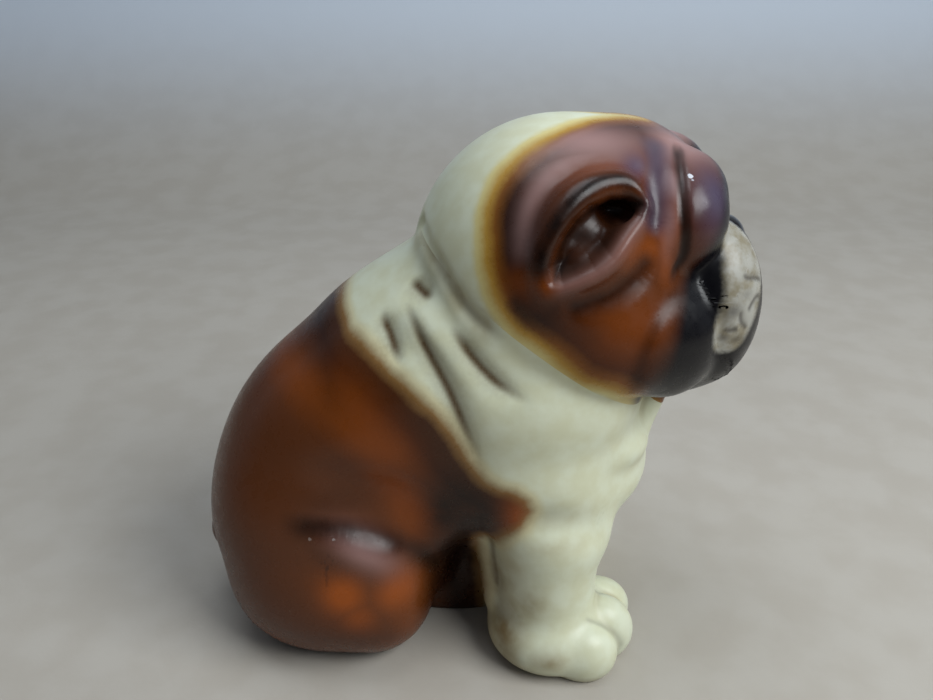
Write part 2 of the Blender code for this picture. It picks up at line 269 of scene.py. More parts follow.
MOUTH = line((47.4, 19.4, 84), (46.8, 20, 80), (46.2, 19.8, 76), (46.6, 19.2, 73))
EAR_RIM = line((13.8, 27.6, 89.6), (12.9, 26.7, 93.0), (13.5, 25.6, 96.6), (14.8, 24.7, 99.2), (16.6, 23.3, 101.9), (18.9, 21.8, 104.2), (22.4, 20.1, 106.0), (26.5, 19.2, 106.5), (29.3, 19.7, 105.5), (31.0, 20.5, 103.6), lift=-0.3)
EAR_LOW = line((13.8, 27.5, 90.0), (17.2, 27.6, 90.9), (20.2, 27.3, 92.1), (23.2, 26.5, 93.8), (25.6, 25.4, 96.0), (27.4, 24.1, 98.2), (29.3, 22.9, 100.2), (31.2, 21.2, 102.6), lift=-0.5)
EAR_MOUTH = [(15.2, 92.0), (14.8, 94.0), (15.6, 96.4), (16.8, 98.8), (18.6, 101.0), (21.2, 102.9), (24.8, 104.0), (28.0, 104.0), (29.6, 103.2), (29.2, 101.9), (27.6, 100.4),
             (26.0, 98.7), (24.2, 96.5), (21.6, 94.4), (18.6, 92.8), (16.4, 91.8)]
EAR_LUMPS = [(settle(np.array([[21.8, 23.9, 100.2]]), -5.9)[0], (4.2, 3.2, 3.0), 20), (settle(np.array([[20.5, 26.2, 95.8]]), -5.9)[0], (4.6, 3.2, 2.8), 30)]
EAR_DEEP = [(settle(np.array([[26.6, 21.7, 103.0]]), -3.0)[0], (3.2, 3.0, 1.9), 10)]


def outline(x, y, pts):
    """Signed distance to a closed outline, below zero inside it."""
    best = np.full(x.shape, 1e9, F)
    inside = np.zeros(x.shape, bool)
    for (ax, ay), (bx, by) in zip(pts, pts[1:] + pts[:1]):
        ex, ey = F(bx - ax), F(by - ay)
        wx, wy = x - F(ax), y - F(ay)
        t = np.clip((wx * ex + wy * ey) / (ex * ex + ey * ey), 0, 1)
        best = np.minimum(best, (wx - t * ex) ** 2 + (wy - t * ey) ** 2)
        if ay != by:
            inside ^= ((F(ay) > y) != (F(by) > y)) & (x < ex * (y - F(ay)) / ey + F(ax))
    return np.where(inside, F(-1), F(1)) * np.sqrt(best)


def ear(d, A):
    """A rolled leaf: the rim swells out of the head, the mouth of the ear is sunk between rim and cheek, two soft lumps lie in it."""
    idx = np.flatnonzero((np.abs(A[0] - F(22)) < 14) & (np.abs(A[2] - F(97)) < 14) & (A[1] > 13))
    if not len(idx):
        return d
    Q = tuple(c[idx] for c in A)
    under = d[idx].copy()
    d = tube(d, A, EAR_RIM, 1.0, 3.3, 4.0)
    d = tube(d, A, EAR_LOW, 0.8, 2.0, 4.0)
    e = d[idx]
    wall = outline(Q[0], Q[2], EAR_MOUTH) - F(0.5) * under
    e = smax(e, -smax(wall, F(-3.4) - under, 3.0), 2.4)
    for c, r, t in EAR_LUMPS:
        e = smin(e, ell(Q, c, r, (0, t, 0)), 3.2)
    for c, r, t in EAR_DEEP:
        e = smax(e, -ell(Q, c, r, (0, t, 0)), 2.0)
    d[idx] = e
    return d

def tube(d, P, path, r0, r1, k):
    idx, q, s, _ = near(P, path, max(r0, r1) + k + 1)
    if len(idx):
        d[idx] = smin(d[idx], q - (F(r0) + F(r1 - r0) * np.sin(np.pi * s)), k)
    return d


def full(P):
    X, Y, Z = P
    A = (X, np.sqrt(Y * Y + F(0.02)), Z)
    d = base(P)
    d = ear(d, A)
    d = groove(d, A, NECK_CREASE, 1.5, 1.6, (0.05, 0.3))
    for path, w, k in FOLDS:
        d = groove(d, A, path, 3.1, 0.85 * k, (0.4, 0.4))
        d = groove(d, A, path, 1.15, 0.65 * k, (0.4, 0.4))
    for path in PILLOWS:
        d = groove(d, A, path, 3.0, -0.7, (0.45, 0.45))
    d = groove(d, A, THIGH, 3.4, 1.0, (0.4, 0.2))
    d = groove(d, A, ELBOW, 4.0, 1.3, (0.3, 0.3))
    d = groove(d, A, TENDON, 1.8, 0.9, (0.3, 0.3))
    d = fold(d, A, THIGH, (-0.3, 0.25, -0.92), 3.9, 1.1, (0.45, 0.2))
    d = groove(d, A, SHELF, 5.0, -1.3, (0.45, 0.35))
    d = groove(d, A, BROW_CREASE, 0.75, 1.1, (0.15, 0.35))
    d = groove(d, A, BROW_VALLEY, 3.2, 0.9, (0.25, 0.3))
    d = groove(d, A, EAR_UNDER, 2.4, 1.0, (0.3, 0.3))
    d = fold(d, A, JOWL_BACK, (0.9, 0.1, 0.1), 1.9, 0.5, (0.35, 0.25))
    for path, w, k in WRINKLES:
        d = groove(d, A, path, 0.9, 0.6 * k, (0.35, 0.4))
    d = groove(d, A, MOUTH, 1.2, 0.5, (0.4, 0.4))
    return smax(d, -Z, 0.5)

# ---------------------------------------------------------------- fields to meshes
def grid_field(fn, lo, hi, h):
    """Values of the field on a grid, worked out only near its surface."""
    n = np.ceil((np.array(hi) - np.array(lo)) / h / 8).astype(int) * 8 + 8
    bs = 8
    nb = n // bs
    axes = [F(lo[i]) + F(h) * (bs * np.arange(nb[i], dtype=F) + F(bs / 2)) for i in range(3)]
    bx, by, bz = np.meshgrid(*axes, indexing="ij")
    coarse = fn((bx.ravel(), by.ravel(), bz.ravel())).reshape(nb)
    live = np.abs(coarse) < F(h * bs * 0.9 + 2.2)
    dense = np.repeat(np.repeat(np.repeat(np.where(coarse < 0, F(-9), F(9)), bs, 0), bs, 1), bs, 2)
    mask = np.repeat(np.repeat(np.repeat(live, bs, 0), bs, 1), bs, 2)
    idx = np.flatnonzero(mask.ravel())
    flat = dense.ravel()
    for part in np.array_split(idx, max(1, len(idx) // 1500000)):
        i, j, k = np.unravel_index(part, dense.shape)
        P = (F(lo[0]) + F(h) * i.astype(F), F(lo[1]) + F(h) * j.astype(F), F(lo[2]) + F(h) * k.astype(F))
        flat[part] = fn(P)
    return flat.reshape(dense.shape)


def surface_net(D, lo, h):
    """Vertices and quads of the zero surface, with the cell of every vertex."""
    shape = np.array(D.shape)
    inside = D < 0
    cells, points, quads, flips = [], [], [], []
    strides = (shape[1] * shape[2], shape[2], 1)
    for ax in range(3):
        a = [slice(None)] * 3
        b = [slice(None)] * 3
        a[ax], b[ax] = slice(0, -1), slice(1, None)
        cross = inside[tuple(a)] != inside[tuple(b)]
        o1, o2 = [o for o in range(3) if o != ax]
        cut = [slice(1, None) if o in (o1, o2) else slice(None) for o in range(3)]
        trimmed = np.zeros_like(cross)
        trimmed[tuple(cut)] = cross[tuple(cut)]
        i, j, k = np.nonzero(trimmed)
        ijk = np.stack([i, j, k], 1)
        d0 = D[i, j, k]
        nxt = ijk.copy()
        nxt[:, ax] += 1
        d1 = D[nxt[:, 0], nxt[:, 1], nxt[:, 2]]
        t = d0 / (d0 - d1)
        p = ijk.astype(F)
        p[:, ax] += t
        ids = ijk @ np.array(strides)
        s1, s2 = strides[o1], strides[o2]
        four = np.stack([ids, ids - s1, ids - s1 - s2, ids - s2], 1)
        for c in range(4):
            cells.append(four[:, c])
            points.append(p)
        flip = (d0 < 0) != (ax == 1)
        quads.append(np.where(flip[:, None], four, four[:, ::-1]))
    cells = np.concatenate(cells)
    points = np.concatenate(points)
    keys, inverse = np.unique(cells, return_inverse=True)
    count = np.bincount(inverse)
    verts = np.stack([np.bincount(inverse, points[:, c]) / count for c in range(3)], 1)
    verts = verts * h + np.array(lo)
    quads = np.searchsorted(keys, np.concatenate(quads))
    ci, cj, ck = np.unravel_index(keys, D.shape)
    corner = np.stack([ci, cj, ck], 1) * h + np.array(lo)
    return verts.astype(F), quads, corner.astype(F)


def slope(fn, p, e=0.1):
    """Value and gradient (not normalised) at the points."""
    P = [np.ascontiguousarray(p[:, i]) for i in range(3)]
    g = []
    for i in range(3):
        a, b = list(P), list(P)
        a[i] = P[i] + F(e)
        b[i] = P[i] - F(e)
        g.append((fn(tuple(a)) - fn(tuple(b))) / F(2 * e))
    return fn(tuple(P)), np.stack(g, 1)


def straddles(fn, corner, h):
    """Whether the field changes sign between the corners of each cell."""
    low = np.full(len(corner), 1e9, F)
    high = -low
    for i in range(8):
        p = corner + F(h) * np.array([i & 1, i >> 1 & 1, i >> 2 & 1], F)
        d = fn(tuple(np.ascontiguousarray(p[:, c]) for c in range(3)))
        low, high = np.minimum(low, d), np.maximum(high, d)
    return (low < 0) & (high >= 0)


def casting(skin, seams, lo, hi, h):
    """The part of the skin inside the seams: points, quads, the skin's normals, and which quads are cut faces."""
    def both(P):
        return np.maximum(skin(P), seams(P)) if seams else skin(P)
    D = grid_field(both, lo, hi, h)
    v, q, corner = surface_net(D, lo, h)
    del D
    edge = np.zeros(len(v), bool)
    if seams:
        P = tuple(np.ascontiguousarray(v[:, c]) for c in range(3))
        f, s = skin(P), seams(P)
        close = np.flatnonzero((np.abs(f) < 1.8 * h) & (np.abs(s) < 1.8 * h))
        edge[close] = straddles(skin, corner[close], h) & straddles(seams, corner[close], h)
    for _ in range(4):
        f, gf = slope(skin, v)
        lf = (gf ** 2).sum(1) + F(1e-6)
        move = -(f / lf)[:, None] * gf
        if seams:
            s, gs = slope(seams, v)
            ls = (gs ** 2).sum(1) + F(1e-6)
            on_cut = s > f
            move[on_cut] = (-(s / ls)[:, None] * gs)[on_cut]
            e = np.flatnonzero(edge)
            dot = (gf[e] * gs[e]).sum(1)
            det = np.maximum(lf[e] * ls[e] - dot * dot, 0.02 * lf[e] * ls[e])
            a = (-f[e] * ls[e] + s[e] * dot) / det
            b = (-s[e] * lf[e] + f[e] * dot) / det
            move[e] = a[:, None] * gf[e] + b[:, None] * gs[e]
        size = np.sqrt((move ** 2).sum(1))
        move *= np.minimum(1, 0.6 * h / (size + F(1e-9)))[:, None]
        v = np.clip(v + move, corner - F(0.45 * h), corner + F(1.45 * h))
    f, gf = slope(skin, v, 0.06)
    gf /= np.sqrt((gf ** 2).sum(1))[:, None] + F(1e-9)
    mid = v[q].mean(1)
    if seams:
        P = tuple(np.ascontiguousarray(mid[:, c]) for c in range(3))
        cut = np.abs(seams(P)) < np.abs(skin(P))
        # a face whose four corners lie on the skin belongs to it, however flat the cut is
        on_skin = (np.abs(f) < 0.02)[q].all(1)
        sv = np.abs(seams(tuple(np.ascontiguousarray(v[:, c]) for c in range(3))))
        on_seam = (sv < 0.02)[q].all(1)
        cut = np.where(on_skin & ~on_seam, False, np.where(on_seam & ~on_skin, True, cut))
    else:
        cut = np.zeros(len(q), bool)
    return v, q, gf, cut


def mesh_object(name, v, q, normals, cut, masks):
    """A Blender mesh in metres in the frame, with the field's own normals and one attribute for each mask."""
    v = v.astype(np.float64)
    mesh = bpy.data.meshes.new(name)
    mesh.vertices.add(len(v))
    co = (v + [SHIFT, 0, 0]) * 0.001
    mesh.vertices.foreach_set("co", co.ravel().astype(F))
    mesh.loops.add(q.size)
    mesh.loops.foreach_set("vertex_index", q.ravel().astype(np.int32))
    mesh.polygons.add(len(q))
    mesh.polygons.foreach_set("loop_start", np.arange(0, q.size, 4, dtype=np.int32))
    mesh.update(calc_edges=True)
    mesh.polygons.foreach_set("use_smooth", np.ones(len(q), bool))
    for key, values in masks.items():
        layer = mesh.attributes.new(key, "FLOAT", "POINT")
        layer.data.foreach_set("value", np.ascontiguousarray(values, F))
    a, b, c, d = (v[q[:, i]] for i in range(4))
    flat = np.cross(c - a, d - b)
    flat /= np.linalg.norm(flat, axis=1)[:, None] + 1e-12
    corners = np.where(cut[:, None, None], flat[:, None, :], normals[q])
    mesh.normals_split_custom_set(corners.reshape(-1, 3).tolist())
    obj = bpy.data.objects.new(name, mesh)
    bpy.context.scene.collection.objects.link(obj)
    return obj



# ---------------------------------------------------------------- seams between the castings
def mirrored(P):
    return (P[0], np.abs(P[1]), P[2])


def neck_plane(P):
    """Above zero on the head's side."""
    return F(0.6) * (P[0] + F(10)) + F(0.8) * (P[2] - F(94))


def leg_zone(P):
    return np.maximum(np.maximum(F(3) - P[0], P[2] - F(31)), F(0.15) - np.abs(P[1]))


def disc(u, v, ru, rv):
    """Nearly the distance to an upright oval, for a seam that runs through the wall at right angles."""
    k = np.sqrt((u / F(ru)) ** 2 + (v / F(rv)) ** 2) + F(1e-5)
    g = np.sqrt((u / F(ru * ru)) ** 2 + (v / F(rv * rv)) ** 2) + F(1e-6)
    return k * (k - 1) / g


def haunch_zone(P):
    return np.maximum(disc(P[0] + F(28), P[2] - F(16), 21.5, 20.5), F(15) - np.abs(P[1]))


def paw_zone(P):
    d = np.maximum(disc(P[0] + F(5), P[2] - F(2), 9.5, 7.5), F(2.4) - np.abs(P[1]))
    return d


def tail_zone(P):
    return np.maximum(disc(P[1], P[2] - F(19), 6.5, 7.0), P[0] + F(52.6))


def ear_zone(P):
    c, s = F(math.cos(math.radians(39))), F(math.sin(math.radians(39)))
    x, z = P[0] - F(22), P[2] - F(97.5)
    return np.maximum(disc(c * x - s * z, s * x + c * z, 8.6, 14.6), F(20.5) - np.abs(P[1]))


def muzzle_zone(P):
    return np.maximum(disc(P[1], P[2] - F(79.5), 21.0, 17.6), F(40.5) - P[0])


def jaw_zone(P):
    return np.maximum(disc(P[0] - F(45), P[1], 13.5, 16.5), P[2] - F(68))


def body_hollow(P):
    d = ell(P, (-25, 0, 30), (25, 9.2, 26))
    d = np.minimum(d, ell(P, (-14, 0, 50), (24, 20, 21)))
    d = np.minimum(d, ell(P, (6, 0, 67), (24, 20.5, 26), (0, 25, 0)))
    vent = np.maximum(np.sqrt((P[0] + F(27)) ** 2 + P[1] ** 2) - F(5), P[2] - F(20))
    return np.minimum(d, vent)


def head_hollow(P):
    return ell(P, (17, 0, 85), (20, 22, 24))


def side(P, s):
    """Inside on the dog's right for s = -1, on its left for s = 1."""
    return -F(s) * P[1]


def seams_torso(P):
    d = np.maximum(neck_plane(P), -leg_zone(P))
    d = np.maximum(d, -haunch_zone(P))
    d = np.maximum(d, -paw_zone(P))
    d = np.maximum(d, -tail_zone(P))
    return np.maximum(d, -body_hollow(P))


def seams_head(P):
    d = np.maximum(-neck_plane(P), -muzzle_zone(P))
    d = np.maximum(d, -jaw_zone(P))
    d = np.maximum(d, -ear_zone(P))
    return np.maximum(d, -head_hollow(P))


def seams_muzzle(P):
    return np.maximum(muzzle_zone(P), -neck_plane(P))


def seams_jaw(P):
    return np.maximum(np.maximum(jaw_zone(P), -muzzle_zone(P)), -neck_plane(P))


def seams_ear(s):
    return lambda P: np.maximum(ear_zone(P), side(P, s))


def seams_leg(s):
    return lambda P: np.maximum(np.maximum(leg_zone(P), side(P, s)), neck_plane(P))


def seams_haunch(s):
    return lambda P: np.maximum(haunch_zone(P), side(P, s))


def seams_paw(s):
    return lambda P: np.maximum(np.maximum(paw_zone(P), side(P, s)), -haunch_zone(P))


# name, slot, what limits it, its box, voxel as a share of FINE
PIECES = [
    ("torso_shell", "body_glaze", seams_torso, (-61, -33, -1), (48, 33, 104), 1.25),
    ("head_shell", "head_glaze", seams_head, (-13, -32, 56), (56, 32, 117), 1.0),
    ("muzzle", "muzzle_glaze", seams_muzzle, (38, -24, 58), (62, 24, 98), 0.9),
    ("lower_jaw", "dark_glaze", seams_jaw, (28, -21, 46), (61, 21, 74), 0.9),
    ("ear_right", "ear_glaze", seams_ear(-1), (8, -36, 82), (36, -18, 113), 0.8),
    ("ear_left", "ear_glaze", seams_ear(1), (8, 18, 82), (36, 36, 113), 0.8),
    ("foreleg_right", "leg_glaze", seams_leg(-1), (2, -35, -1), (40, 0, 33), 1.0),
    ("foreleg_left", "leg_glaze", seams_leg(1), (2, 0, -1), (40, 35, 33), 1.0),
    ("haunch_right", "body_glaze", seams_haunch(-1), (-56, -34, -1), (0, -12, 43), 1.0),
    ("haunch_left", "body_glaze", seams_haunch(1), (-56, 12, -1), (0, 34, 43), 1.0),
    ("hind_paw_right", "body_glaze", seams_paw(-1), (-20, -15, -1), (5, 0, 11), 0.9),
    ("hind_paw_left", "body_glaze", seams_paw(1), (-20, 0, -1), (5, 15, 11), 0.9),
    ("tail_nub", "body_glaze", tail_zone, (-63, -7, 10), (-49, 7, 28), 0.9),
]


# ---------------------------------------------------------------- where the airbrush went, and where shade and sheen are painted
def polygon(x, y, pts):
    """Signed distance to a closed outline, above zero inside it."""
    best = np.full(x.shape, 1e9, F)
    inside = np.zeros(x.shape, bool)
    for (ax, ay), (bx, by) in zip(pts, pts[1:] + pts[:1]):
        ex, ey = F(bx - ax), F(by - ay)
        wx, wy = x - F(ax), y - F(ay)
        t = np.clip((wx * ex + wy * ey) / (ex * ex + ey * ey), 0, 1)
        best = np.minimum(best, (wx - t * ex) ** 2 + (wy - t * ey) ** 2)
        if ay != by:
            inside ^= ((F(ay) > y) != (F(by) > y)) & (x < ex * (y - F(ay)) / (ey if ey else F(1)) + F(ax))
    return np.where(inside, 1, -1) * np.sqrt(best)


def blob(P, c, r, rot=(0, 0, 0)):
    """1 at the middle of a soft ellipsoidal spot, 0 outside it; both sides of the body get it."""
    x, y, z = P[0] - F(c[0]), np.abs(P[1]) - F(c[1]), P[2] - F(c[2])
    if any(rot):
        m = turn(*rot).T
        x, y, z = (m[0, 0] * x + m[0, 1] * y + m[0, 2] * z, m[1, 0] * x + m[1, 1] * y + m[1, 2] * z,
                   m[2, 0] * x + m[2, 1] * y + m[2, 2] * z)
    q = (x / F(r[0])) ** 2 + (y / F(r[1])) ** 2 + (z / F(r[2])) ** 2
    return np.exp(-q * F(1.4))


def flattened(P):
    """The same points before anything was pressed into the clay, so that a stroke also covers the bottom of its groove."""
    A = mirrored(P)
    key = (len(A[0]), float(A[0][:1].sum()), float(A[2][-1:].sum()))
    if FLAT.get("key") != key:
        B = A
        for _ in range(3):
            d, g = base(B), gradient(base, B, 0.3)
            B = tuple(B[i] - d * g[i] for i in range(3))
        FLAT.update(key=key, points=tuple(np.ascontiguousarray(b) for b in B))
    return FLAT["points"]


FLAT = {}


def stroke(P, path, width, ends=(0.15, 0.15)):
    """1 on a line drawn on the skin, fading with the distance from it."""
    A = flattened(P)
    out = np.zeros(P[0].shape, F)
    idx, q, s, _ = near(A, path, 3 * width)
    if len(idx):
        out[idx] = np.exp(-(q / F(width)) ** 2) * taper(s, *ends)
    return out


HEAD_MID = np.array((18.0, 0.0, 86.0))
PATCH_WAY = np.array((4.0, 28.0, 6.0)) / np.linalg.norm((4.0, 28.0, 6.0))


def chart(P):
    """Lays the side of the head flat around the ear: distances and bearings as seen from the middle of the head."""
    x, y, z = P[0] - F(18), np.abs(P[1]), P[2] - F(86)
    n = np.sqrt(x * x + y * y + z * z) + F(1e-6)
    w = PATCH_WAY.astype(F)
    e1 = np.array((1.0, 0, 0)) - PATCH_WAY * PATCH_WAY[0]
    e1 = (e1 / np.linalg.norm(e1)).astype(F)
    e2 = np.cross(w, e1)
    if e2[2] < 0:
        e2 = -e2
    c = np.clip((x * w[0] + y * w[1] + z * w[2]) / n, -1, 1)
    theta = np.arccos(c)
    u, v = x * e1[0] + y * e1[1] + z * e1[2], x * e2[0] + y * e2[1] + z * e2[2]
    m = np.sqrt(u * u + v * v) + F(1e-6)
    return F(30) * theta * u / m, F(30) * theta * v / m


def charted(*pts):
    p = spline(pts, 4)
    u, v = chart(tuple(p[:, i] for i in range(3)))
    return [(float(a), float(b)) for a, b in zip(u, v)]


COAT_SIDE = [(-23.6, 75.6), (-18.4, 73.4), (-12.5, 69.1), (-6.9, 63.7), (-3.2, 58.5), (0.0, 53.0), (3.0, 48.6), (6.0, 47.2), (9.0, 46.6), (11.2, 45.0),
             (11.9, 42.4), (10.6, 39.0), (8.0, 36.4), (5.6, 33.6), (3.4, 33.0), (1.6, 30.0), (2.0, 24), (2.8, 16), (3.0, -8), (-90, -8), (-90, 95), (-26, 79)]
PATCH_REAR = charted((34, 1.0, 114), (24.8, 3.8, 113.7), (16.9, 9.4, 112.8), (9.5, 13.6, 109.3), (5.2, 16.8, 104.7), (3.6, 20.8, 98.6), (4.1, 24, 92.3),
                     (6.5, 26.3, 85.7), (9.5, 27.4, 82.3), (14.5, 28.2, 78.7), (20.6, 28.2, 72.7), (28.1, 28.5, 68.7), (33, 24, 64), (38, 18, 60), (40, 8, 56))
PATCH = PATCH_REAR + [(75, -75), (110, 0), (75, 75)]
JOWL = charted((46, 3, 108), (47.4, 9, 106), (46.8, 14, 102.6), (45.2, 17.0, 98.6), (43.6, 18.6, 94.6), (41.8, 19.7, 89), (39.7, 23.3, 84.4), (38.5, 26.3, 78.8),
               (38.1, 27.2, 70.5), (37, 24, 64), (36, 14, 58)) + [(75, -75), (110, 0)]


def wrapped(P):
    """Unrolls the muzzle about an upright axis: along the lip, and up."""
    return F(16) * np.arctan2(np.abs(P[1]), P[0] - F(38)), P[2]


def unrolled(*pts):
    p = spline(pts + pts[:1], 3)[:-1]
    u, v = wrapped(tuple(p[:, i] for i in range(3)))
    return [(float(a), float(b)) for a, b in zip(u, v)]


FLEW = unrolled((48.3, 12.5, 97.6), (46.7, 17.0, 96.6), (47.0, 16.6, 93.4), (46.9, 18.2, 90.4), (47.2, 19.6, 87.0), (46.8, 20.6, 83.2), (46.1, 21.2, 80.6),
                (45.6, 22.0, 77.4), (47.0, 21.2, 74.9), (49.5, 19.9, 74.2), (51.8, 18.9, 75.4), (53.4, 17.6, 79), (54.8, 15.2, 83.8), (55.6, 12.4, 88),
                (55.0, 11.0, 91.6), (53.0, 10.2, 95), (50.8, 10.4, 97.2))
# ochre airbrush stains on the foreleg and paw, and painted shade on the leg's rear, at the heel, along the paw's foot
# and under the chest's overhang
OCHRE_AND_SHADE_SPOTS = [((8.6, 25, 9.0), (5.5, 8, 12), 0.85), ((12.5, 28, 19), (5, 6, 6), 0.5), ((9, 26, 24), (5, 8, 12), 0.35), ((16, 28, 40), (13, 8, 3), 0.28), ((7.2, 20, 22), (4, 8, 10), 0.6), ((17.2, 31, 7.2), (5.0, 4, 2.6), 0.75), ((10, 24, 2), (10, 12, 3), 0.6),
         ((20, 30, 1.0), (14, 8, 1.6), 0.4), ((16.5, 27, 34), (10, 5, 2.4), 0.25)]
SMUDGE = [((49.2, 20.4, 82.8), (2.2, 3, 1.6), 0.7), ((47.9, 20.9, 77.7), (1.6, 3, 1.0), 0.6), ((50.8, 20.0, 77.0), (1.6, 3, 0.9), 0.6),
          ((52.0, 19, 85.6), (1.4, 3, 1.0), 0.35)]
NECK_SHADE = line((-7.5, 13, 91.6), (-4.3, 18.2, 88.6), (-0.6, 22, 85.4), (2.8, 24.4, 82.2), (6.0, 25.6, 79.8))
# lines between the toes, drawn as painted shade in their creases
TOE_LINES = [line((27.3, 17, 14.6), (30.8, 16.6, 13.0), (34.0, 16.2, 10.6), (36.6, 15.8, 7), (37.6, 15.6, 3)), line((24.4, 25.4, 12.6), (27.6, 25.0, 11.4), (30.6, 24.6, 9.4), (32.8, 24.4, 6.4), (33.6, 24.2, 3))]


# the band above the ear that carries the painted pinkish sheen
ARC = line((11.0, 26.0, 92.5), (9.6, 24.6, 96.5), (10.2, 22, 101.4), (12.8, 19.2, 105.8), (17.4, 16.0, 109.0), (23.0, 14.0, 110.6), (28.0, 13.8, 110.4))


def spots(P, places):
    out = np.zeros(P[0].shape, F)
    for c, r, k in places:
        out = np.maximum(out, F(k) * blob(P, c, r))
    return out


def paint(P, head):
    """Masks on the skin: distances are in mm, above zero inside the colour."""
    none = np.zeros(P[0].shape, F)
    out = {"on_head": none + F(1 if head else 0)}
    if head:
        u, v = chart(P)
        out["coat"] = polygon(u, v, PATCH)
        out["jowl"] = np.minimum(polygon(u, v, JOWL) + F(1.6), (P[2] - F(60.6)) * F(1.5))
        out["flew"] = np.where(P[0] > 44, polygon(*wrapped(P), FLEW), F(-20))
        out["warm"] = np.maximum.reduce([blob(P, (29, 27, 82), (12, 10, 12)) * F(0.4), blob(P, (10, 28, 90), (5, 7, 4)) * F(0.8), blob(P, (35.4, 21, 99), (2.6, 9, 11)) * F(0.9),
                                         blob(P, (31, 23, 95), (6, 8, 5)) * F(0.7), blob(P, (24, 20, 108), (13, 8, 4)) * F(0.45)])
        # near-black paint on the ear's rim and darker spots behind the ear and on the lower cheek, with painted shade
        # under the ear, in the brow crease and valley, in the ear's hollow and pit and behind the jowl
        out["dark"] = np.maximum.reduce([blob(P, (8, 26, 84), (7, 10, 9)) * F(0.95), blob(P, (8, 21, 97), (3.2, 10, 10)) * F(0.5), stroke(P, EAR_UNDER, 2.2) * F(0.8),
                                         stroke(P, BROW_CREASE, 1.0) * F(0.9), stroke(P, BROW_VALLEY, 2.2) * F(0.3), stroke(P, EAR_RIM, 2.0),
                                         ramp(-outline(P[0], P[2], EAR_MOUTH), -1.2, 0.8) * np.where(np.abs(P[1]) > 15, F(0.88), F(0)) * (F(1) - F(0.4) * np.maximum(blob(P, (22.0, 22, 100.6), (3.2, 8, 2.2)), blob(P, (20.6, 24, 95.6), (3.8, 8, 2.2)))), blob(P, (35, 27, 73), (4.5, 9, 12)) * F(0.6),
                                         stroke(P, JOWL_BACK, 1.6) * F(0.45), blob(P, (26.6, 20, 103.0), (4.4, 5, 2.6))])
        # a painted bluish reflection on the brow and in the valley in front of the ear
        out["blue_sheen"] = np.maximum.reduce([blob(P, (43.5, 17, 103), (5.0, 8, 7.5)), stroke(P, BROW_VALLEY, 2.4) * F(0.9), blob(P, (29.7, 16.3, 108.9), (3.2, 5, 2.5)) * F(0.9)])
        # a painted pinkish reflection on the top of the head, the brow, the band above the ear and the ear's lower rim
        out["painted_sheen"] = np.maximum.reduce([blob(P, (22, 11, 112), (12, 7, 4)) * F(0.8), blob(P, (39, 8, 111), (8, 9, 5)) * F(0.9), stroke(P, ARC, 2.0) * F(0.5),
                                         blob(P, (36.4, 18, 106), (2.4, 4, 5)) * F(0.8), blob(P, (35.5, 21, 100), (1.6, 4, 6)) * F(0.6), stroke(P, EAR_LOW, 1.7) * F(0.35)])
        # ochre airbrush with painted shade below the neck crease
        out["ochre_and_shade"] = np.maximum(stroke(P, NECK_SHADE, 2.6) * F(0.45), blob(P, (-5, 20, 86), (5, 10, 6)) * F(0.35))
        # smudges on the lips, and painted shade along the muzzle's wrinkles
        out["smudge_and_crease_shade"] = spots(P, SMUDGE)
        for path, w, k in WRINKLES:
            out["smudge_and_crease_shade"] = np.maximum(out["smudge_and_crease_shade"], stroke(P, path, 0.55) * F(0.8))
        out["crease_shade"] = none
    else:
        out["coat"] = polygon(P[0], P[2], COAT_SIDE)
        out["jowl"], out["flew"] = none - F(30), none - F(30)
        out["warm"] = np.maximum.reduce([blob(P, (-25.4, 29.6, 23.4), (5.2, 9, 5.4)), blob(P, (-22.6, 30, 18), (4.4, 8, 4.4)) * F(0.6), blob(P, (-14.4, 27.6, 23.0), (5.6, 9, 4.8)) * F(0.85), blob(P, (-17.5, 25, 59), (6.5, 14, 17), (0, -32, 0)) * F(0.75),
                                         blob(P, (-12.8, 25, 44.5), (12, 11, 5.6), (0, 60, 0)), blob(P, (10.4, 26.8, 41.0), (4.4, 9, 6.5)), blob(P, (-34, 18, 66), (10, 14, 5)) * F(0.4)])
        # painted shade along and above the crease over the thigh, in the armpit, in the gap between haunch and foreleg,
        # and on the haunch near the floor
        out["dark"] = np.maximum.reduce([stroke(P, THIGH, 2.8) * F(0.85), blob(P, (-4, 22, 40), (7, 14, 10)) * F(0.95), blob(P, (3, 24, 38), (4, 9, 8)) * F(0.6), blob(P, (-1, 20, 20), (9, 14, 22)) * F(1.0),
                                         blob(P, (-28, 32, 8), (24, 12, 6)) * F(0.35), blob(P, (-27, 25, 43), (9, 10, 4.5), (0, 8, 0)) * F(0.4)])
        out["blue_sheen"] = none
        # a painted sheen on the upward ledge at the top of the thigh
        out["painted_sheen"] = blob(P, (-20.8, 27.2, 33.0), (9.0, 7, 4.2), (0, 34, 0)) * F(0.7)
        # ochre stains with painted shade on the foreleg, and painted shade along the neck crease
        out["ochre_and_shade"] = np.maximum(spots(P, OCHRE_AND_SHADE_SPOTS), stroke(P, NECK_CREASE, 2.4) * F(0.6))
        # painted shade between the toes
        out["smudge_and_crease_shade"] = none
        for path in TOE_LINES:
            out["smudge_and_crease_shade"] = np.maximum(out["smudge_and_crease_shade"], stroke(P, path, 0.7) * F(0.35))
        # brown lines of painted shade along the tendon and the neck folds
        crease_shade = stroke(P, TENDON, 1.5) * F(0.55)
        for path, w, k in FOLDS:
            crease_shade = np.maximum(crease_shade, np.maximum(stroke(P, path, 1.3, (0.3, 0.4)) * F(0.9), stroke(P, path, 3.0, (0.3, 0.4)) * F(0.42)))
        out["crease_shade"] = crease_shade
    # how far the skin sinks below a point lifted 1.6 mm off it; this drives the painted shade in the hollows
    out["hollow"] = F(1) - skin(tuple(c for c in lifted(P, 1.6))) / F(1.6)
    return out


